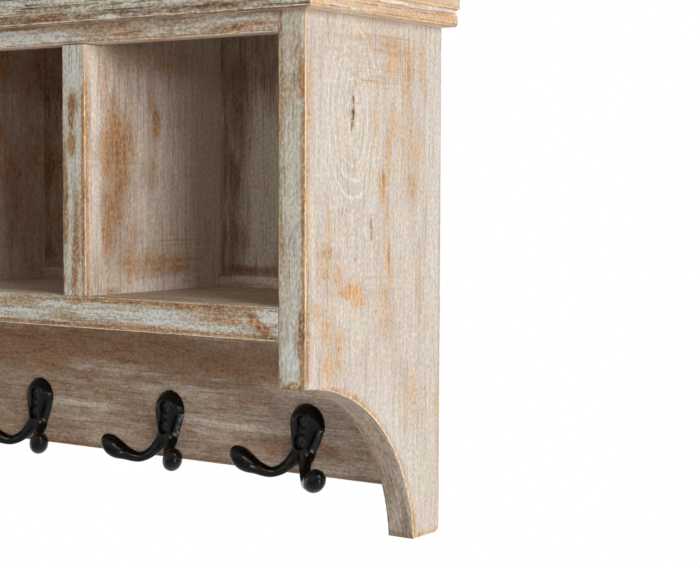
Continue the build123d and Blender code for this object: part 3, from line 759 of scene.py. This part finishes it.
def lamps():
    """Large soft lamps, aimed at the photographed end of the shelf."""
    aim = Vector(LAMP_AIM)
    for name, facts in LAMPS.items():
        data = bpy.data.lights.new(name, "AREA")
        data.shape = "RECTANGLE"
        data.size, data.size_y = facts["size"]
        data.energy = facts["watts"]
        item = bpy.data.objects.new(name, data)
        bpy.context.scene.collection.objects.link(item)
        turn, rise = radians(facts["azimuth"]), radians(facts["elevation"])
        way = Vector((sin(turn) * cos(rise), -cos(turn) * cos(rise), sin(rise)))
        facing = way.to_track_quat("Z", "Y").to_matrix().to_4x4()
        item.matrix_world = Matrix.Translation(aim + way * facts["distance"]) @ facing


def floor():
    """A plain pale floor, as far under the shelf as a wall shelf hangs."""
    low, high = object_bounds()
    bpy.ops.mesh.primitive_plane_add(size=FLOOR_SIZE, location=(0, -0.4, low[2] - FLOOR_DROP))
    item = bpy.context.object
    item.name = "studio_floor"
    material, g, shader = new_material("floor_white")
    speckle = g.noise(g.add("ShaderNodeTexCoord", output=3), (40, 40, 40))
    g.join(g.mix(speckle, (0.88, 0.88, 0.88), (0.92, 0.92, 0.92)), shader.inputs["Base Color"])
    shader.inputs["Roughness"].default_value = 0.9
    item.data.materials.append(material)
    item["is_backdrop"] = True


IRON = cast_iron()

camera()
world()
lamps()
floor()

# Marks: (across, up, half width, half height, strength[, lean]) in millimetres, on the photographed boards
SIDE_KNOTS = [(-121.5, -66.0, 17.0, 2.0)]
SIDE_BARE = [
    (-108, -11, 22, 3, 0.4), (-77, -12, 16, 5, 0.5), (-67, -26, 12, 15, 0.58), (-48, -28, 9, 22, 0.5),
    (-29, -25, 4, 20, 0.6), (-24, -34, 2.2, 24, 0.6), (-51, -50, 5, 22, 0.55), (-69, -72, 6, 18, 0.6),
    (-75, -95, 5, 24, 0.62), (-82, -120, 6, 15, 0.85), (-78, -150, 5, 36, 0.55), (-45, -84, 18, 26, 0.5),
    (-92, -72, 4, 22, 0.3), (-42, -118, 10, 18, 0.42), (-152, -150, 4, 14, 0.5), (-156, -168, 9, 8, 0.75),
    (-141, -169, 6, 4, 0.55), (-156, -181, 7, 9, 0.6), (-141, -185, 9, 10, 0.6), (-130, -196, 22, 6, 0.7),
    (-112, -205, 12, 3, 0.55), (-167, -210, 5, 7, 0.6), (-156, -222, 8, 15, 0.58), (-140, -232, 8, 12, 0.6),
    (-148, -246, 16, 15, 0.5), (-80, -204, 7, 13, 0.58), (-72, -185, 5, 18, 0.52), (-67, -212, 5, 6, 0.5),
    (-77, -226, 18, 14, 0.48), (-33, -190, 4, 30, 0.45), (-174, -60, 4, 60, 0.36), (-177.5, -130, 3, 110, 0.85),
    (-177.5, -226, 3.5, 34, 0.95), (-44, -290, 20, 26, 0.28), (-9, -120, 8, 130, -0.3), (-60, -320, 40, 50, -0.2),
    (-20, -60, 6, 60, -0.2), (-5, -290, 5, 14, 0.45), (-3, -310, 3, 60, 0.4), (-2, -250, 2, 150, 0.35),
    (-60, -270, 10, 20, 0.3),
]
FOOT_BARE = [(425, -394, 20, 4, 0.65), (431, -384, 3, 30, 0.5), (415, -340, 2, 70, 0.5), (421, -352, 6, 16, 0.35)]
SIDE_STAIN = [
    (-121.8, -56, 2.2, 5, 0.75), (-120.0, -61, 2.0, 5, 0.65), (-121.4, -66, 3.6, 7, 0.78),
    (-122.8, -75, 2.0, 6, 0.75), (-134, -137, 6, 6, 0.45), (-99, -149, 3, 7, 0.5), (-97, -156, 2.5, 5, 0.5),
    (-106, -162, 2.5, 5, 0.5), (-118, -172, 3, 4, 0.45), (-109, -190, 3, 4, 0.45), (-91, -214, 3, 5, 0.45),
    (-103, -16, 3, 1.4, 0.6), (-78, -142, 2.5, 10, 0.5), (-73, -172, 2, 22, 0.5), (-82, -112, 2.5, 4, 0.5),
]
SIDE_CUTS = [(-72, -24, 46, 24, 0.65), (-100, -38, 16, 12, 0.7), (-96, -205, 30, 14, 0.3)]
WALL_BARE = [
    (-159, -41, 8, 26, 0.42), (-152, -60, 10, 15, 0.55), (-146, -88, 22, 30, 0.88), (-143, -114, 16, 18, 0.78),
    (-148, -134, 16, 26, 0.75), (-152, -154, 10, 24, 0.65), (-178, -120, 3, 110, 0.9), (-97, -70, 6, 14, 0.75),
    (-103, -58, 6, 28, 0.4), (-104, -110, 9, 16, 0.36), (-31, -160, 8, 18, 0.45), (-100, -182, 46, 10, 0.5),
    (-130, -172, 10, 24, 0.45), (-150, -203, 8, 2.5, 0.7), (-60, -200, 6, 2, 0.7), (-85, -188, 34, 5, 0.6),
    (-25, -90, 30, 130, -0.6), (-90, -18, 80, 12, 0.3), (-80, -201, 60, 6, -0.3), (-165, -60, 8, 60, -0.35),
    (-168, -140, 7, 50, -0.3),
]
WALL_CUTS = [(-85, -176, 46, 22, 0.5)]
FRONT_BARE = [
    (416.5, -100, 1.8, 160, 0.6), (434.5, -42, 3.5, 18, 0.8), (436, -150, 1.6, 120, 0.35),
    (434, -226, 3.5, 24, 0.75), (418, -60, 3, 12, 0.45), (424, -48, 9, 16, 0.5), (426, -264, 13, 4.0, 1.0),
    (414.5, -258, 2.5, 9, 0.8), (436, -252, 3, 14, 0.9), (420, -175, 3, 30, 0.35), (425, -20, 10, 20, 0.36),
    (427, -90, 8, 34, 0.12), (424, -245, 8, 12, -0.5),
]
MIDDLE_BARE = [(-60, -70, 60, 80, 0.5), (-34, -150, 30, 60, 0.3), (-50, -25, 80, 30, 0.5), (-90, -120, 12, 90, 0.2)]
DIVIDER_BARE = [
    (212.5, -55, 6, 11, 1.1), (211, -66, 3.5, 14, 1.0), (211, -87, 5, 10, 1.1), (202.5, -118, 3.5, 34, 1.0),
    (204, -142, 4, 30, 1.0), (216, -152, 5, 36, 0.85), (214, -184, 4, 28, 0.75), (203, -192, 3, 5, 0.7),
    (212, -197, 5, 5, 0.8), (223, -120, 1.6, 90, 0.5), (208, -136, 2.4, 5, -0.8), (213, -30, 10, 20, -0.3),
]
RAIL_BARE = [
    (213, -209.5, 12, 3.5, 0.85), (246, -219, 30, 6, -0.5), (306, -221, 24, 5, -0.3), (406, -213, 12, 7, -0.6),
    (205, -207, 24, 2.4, 0.6), (300, -208, 110, 2.6, 1.2), (345, -209.5, 50, 3.6, 1.0), (365, -214, 26, 5.5, 0.8),
    (396, -219, 19, 4.2, 1.3, -38), (160, -210, 18, 4.5, 0.6), (140, -213, 16, 3, 0.5),
    (265, -227.4, 190, 2.2, 1.15), (250, -215, 44, 6, 0.35), (340, -222, 60, 6, -0.15), (60, -214, 60, 6, 0.5),
    (-120, -212, 70, 6, 0.55), (-300, -216, 60, 8, 0.55),
]
# Marks on the top rail: worn and thicker paint. The two along its top, at 3.2 and 1 mm up, are a painted shade strip
# under the cornice.
TOP_RAIL_WEAR_AND_SHADE = [
    (275, -6, 24, 2.0, 0.8), (372, -5, 34, 2.4, 1.0), (385, -0.5, 30, 2.5, -0.8), (160, -3, 60, 5, -0.5),
    (213, -4, 14, 2, 0.4), (180, -7, 20, 2, 0.4), (300, -8.5, 140, 1.6, 0.6), (0, -4, 500, 7, 0.14),
    (230, 3.2, 300, 2.2, 0.7), (290, 1, 60, 3, 0.4),
]
TRIM_BARE = [
    (0, 26, 700, 8.0, -1.2), (182, 18.6, 8, 1.4, 1.6), (0, 16, 700, 2.6, -0.5), (0, 5.5, 700, 1.3, 0.5),
    (204, 9, 30, 4, 0.35), (286, 10.5, 40, 3.4, 0.5), (366, 10, 26, 3, 0.6), (150, 7, 30, 2, 0.5),
    (60, 24, 40, 3, 0.9), (-180, 22, 50, 3, 0.9),
]
# Marks on the back boards' front: worn and thicker wash. The one at (110, -14) is painted shade under the rail at the
# top of the second bay from the right, and the one at (50, -80) darkens that bay's back all over.
BACK_WEAR_AND_SHADE = [
    (244, -45, 10, 38, 0.55), (238, -110, 5, 18, 0.5), (238, -168, 5, 24, 0.5), (256, -191, 28, 4, 0.7),
    (0, -88, 60, 140, 0.3), (-10, -88, 8, 90, 0.5), (6, -88, 4, 90, 0.5), (26, -88, 8, 90, 0.45),
    (274, -128, 20, 60, -0.9), (262, -178, 16, 12, -0.5), (258, -130, 10, 40, -0.35), (246, -60, 3, 40, 0.7),
    (50, -80, 150, 140, 0.45), (-250, -90, 30, 60, 0.4), (-330, -120, 20, 70, -0.4), (110, -14, 90, 26, 0.8),
]
# Marks on the hook board: worn and thicker wash. The wide band at 272 mm down, across the whole board, is painted
# shade from the shelf above.
HOOK_BOARD_WEAR_AND_SHADE = [
    (100, -358, 500, 2.4, 0.6), (320, -200, 95, 6, -0.45), (0, -200, 200, 6, -0.1), (72, -256, 40, 9, 0.5),
    (190, -258, 14, 4, 0.45), (90, -283, 70, 7, -0.45), (300, -340, 60, 10, 0.25), (180, -300, 50, 5, -0.5),
    (330, -290, 60, 5, -0.5), (360, -320, 50, 50, -0.1), (60, -320, 60, 4, -0.4), (260, -325, 70, 4, -0.5),
    (120, -262, 60, 6, 0.3), (0, -272, 330, 18, 0.5), (-200, -290, 60, 7, -0.4), (-300, -330, 70, 6, 0.3),
]


def marked(axes, *lists):
    """A field of marks from lists of them, in the plane of the axes."""
    return lambda points: sum(spots(points, axes, marks) for marks in lists)


def one_side(field, axis, value, reach=4.0):
    """The field, kept to the face where the points' coordinate on that axis is at the value."""
    return lambda points: field(points) * (np.abs(points[:, axis] - value) < reach)


def both(*fields):
    """The sum of several fields."""
    return lambda points: sum(field(points) for field in fields)


def curve_bare(points):
    """Wear along the arris of the right side board's hollow, and thicker paint inside it over the foot."""
    rim = side_rim(points, "side_right", 2)
    low = points[:, 2].min()
    under, outside = points[:, 2] < low + CURVE_TOP, points[:, 0] > RIGHT_FACE - 0.5
    worn = (under & outside & (points[:, 1] < 12 - FOOT_DEPTH)) * np.exp(-(rim / 3.4) ** 2)
    return worn - 0.35 * ~outside * np.exp(-((points[:, 2] - low) / FOOT_PAINT) ** 4)


def scattered(name, axis, seed, strength=0.8):
    """Worn and thicker patches at seeded places all over a board, longer along its grain."""
    low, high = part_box(name)
    across = max((k for k in range(3) if k != axis), key=lambda k: high[k] - low[k])
    corners = [(corner[across] / MM, corner[axis] / MM) for corner in (low, high)]
    count = 4 + int((high[across] - low[across]) * (high[axis] - low[axis]) / PATCH_AREA)
    worn = random_marks(seed, *corners, count, 7, 24, strength)
    thick = random_marks(seed + 1, *corners, count // 2, 14, 40, -0.5 * strength)
    return marked((across, axis), worn, thick)


RIGHT_FACE, FRONT_FACE, WALL_FACE, MIDDLE_FACE, BACK_FACE = 438.25, -180.0, 225.25, 12.25, -13.3
side_bare = both(
    one_side(marked((1, 2), SIDE_BARE), 0, RIGHT_FACE), one_side(marked((0, 2), FRONT_BARE), 1, FRONT_FACE),
    marked((0, 2), FOOT_BARE), curve_bare,
)
side_stain = one_side(marked((1, 2), SIDE_STAIN), 0, RIGHT_FACE)
side_cuts = one_side(marked((1, 2), SIDE_CUTS), 0, RIGHT_FACE)
wall_bare = both(
    one_side(marked((1, 2), WALL_BARE), 0, WALL_FACE), one_side(marked((0, 2), DIVIDER_BARE), 1, FRONT_FACE),
)
back_wear_and_shade = one_side(marked((0, 2), BACK_WEAR_AND_SHADE), 1, BACK_FACE)
wall_cuts = one_side(marked((1, 2), WALL_CUTS), 0, WALL_FACE)
SIDE_FINISH = {"-y": "painted", "-z": "cut", "curve": "cut", "rest": "inner"}
DIVIDER_FINISH = {"-y": "painted", "rest": "inner"}
FRONT_FINISH = {"-y": "rail", "+z": "rail", "rest": "inner"}

board(
    "side_right", 2, {"+x": "side_face", **SIDE_FINISH}, side_bare, side_stain, side_cuts, (1, SIDE_KNOTS), 11,
    side_rim, FINE_CELL,
)
board(
    "side_left", 2, {"-x": "side_face", **SIDE_FINISH}, scattered("side_left", 2, 70), seed=12, rim_of=side_rim,
)
middle_bare = both(scattered("divider_2", 2, 76), one_side(marked((1, 2), MIDDLE_BARE), 0, MIDDLE_FACE))
board("divider_1", 2, DIVIDER_FINISH, scattered("divider_1", 2, 74), seed=21)
board("divider_2", 2, DIVIDER_FINISH, middle_bare, seed=22)
board("divider_3", 2, DIVIDER_FINISH, wall_bare, cuts=wall_cuts, seed=23, cell=FINE_CELL)
board("top_rail", 0, FRONT_FINISH, marked((0, 2), TOP_RAIL_WEAR_AND_SHADE), seed=31)
board("bottom_rail", 0, FRONT_FINISH, marked((0, 2), RAIL_BARE), seed=32, cell=FINE_CELL)
board("shelf_board", 0, {"rest": "floor"}, seed=33)
for n in (1, 2, 3, 4):
    behind = one_side(scattered(f"back_board_{n}", 2, 90 + 2 * n, 0.4), 1, 0.0)
    board(f"back_board_{n}", 2, {"rest": "back"}, both(back_wear_and_shade, behind), seed=40 + n)
board("hook_board", 0, {"rest": "hooked"}, marked((0, 2), HOOK_BOARD_WEAR_AND_SHADE), seed=51)
board("top_board", 0, {"rest": "painted"}, scattered("top_board", 0, 80), seed=52)
board("cornice_front", 0, {"rest": "trim"}, marked((0, 2), TRIM_BARE), seed=61, rim_of=trim_rim, cell=FINE_CELL)
board("cornice_left", 1, {"rest": "trim_side"}, seed=62, rim_of=trim_rim)
board("cornice_right", 1, {"rest": "trim_side"}, seed=63, rim_of=trim_rim)
hooks()
cad_materials()

bpy.context.scene.view_settings.view_transform = "Standard"
